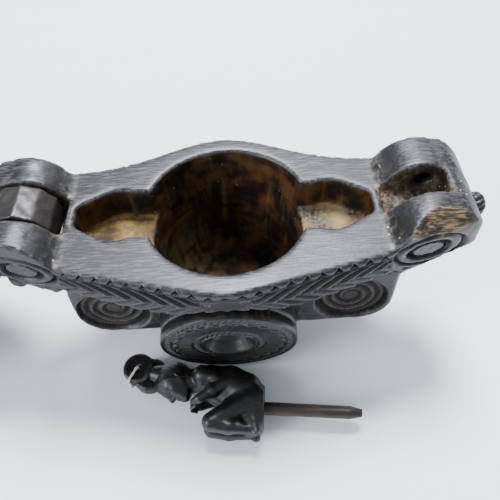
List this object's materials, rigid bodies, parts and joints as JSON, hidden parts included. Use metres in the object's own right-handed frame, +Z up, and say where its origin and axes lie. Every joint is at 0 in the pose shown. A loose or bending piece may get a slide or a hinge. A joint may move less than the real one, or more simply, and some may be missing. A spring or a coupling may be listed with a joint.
{
  "type": "nutcracker",
  "caption": "Hinged lever-lid nutcracker carved in dark wood: bowed body with a round well and two wing pockets, forked rolls, front rosette, and a figure-headed locking peg.",
  "frame": {"origin": "on the table under the middle of the body, in the flat foot of its bowl", "axes": "+X along the length towards the roll that locks, +Y towards the back, away from the rosette, +Z up"},
  "size_m": [0.1982, 0.0659, 0.0536],
  "materials": {
    "ebony_body": "satin",
    "ebony_worn": "satin",
    "inner_brown": "matte",
    "thread": "matte"
  },
  "bodies": {
    "body": {"body": "ebony_body", "rosette": "ebony_body", "right_rope_knob": "ebony_body", "left_rope_knob": "ebony_body", "hinge_pin": "ebony_worn"},
    "lid": {"lid": "ebony_worn", "crusher": "inner_brown"},
    "peg": {"peg_figure": "ebony_body", "peg_shaft": "ebony_worn", "thread_loop": "thread"}
  },
  "joints": [
    {"name": "lid_hinge", "type": "hinge", "parent": "body", "child": "lid", "pos_m": [-0.0472, 0, 0.045], "axis": [0, 1, 0], "range_deg": [0, 203.3]},
    {"name": "peg_lift", "type": "slide", "parent": "body", "child": "peg", "axis": [0, -0.6, 0.8], "range_m": [0, 0.03]}
  ]
}
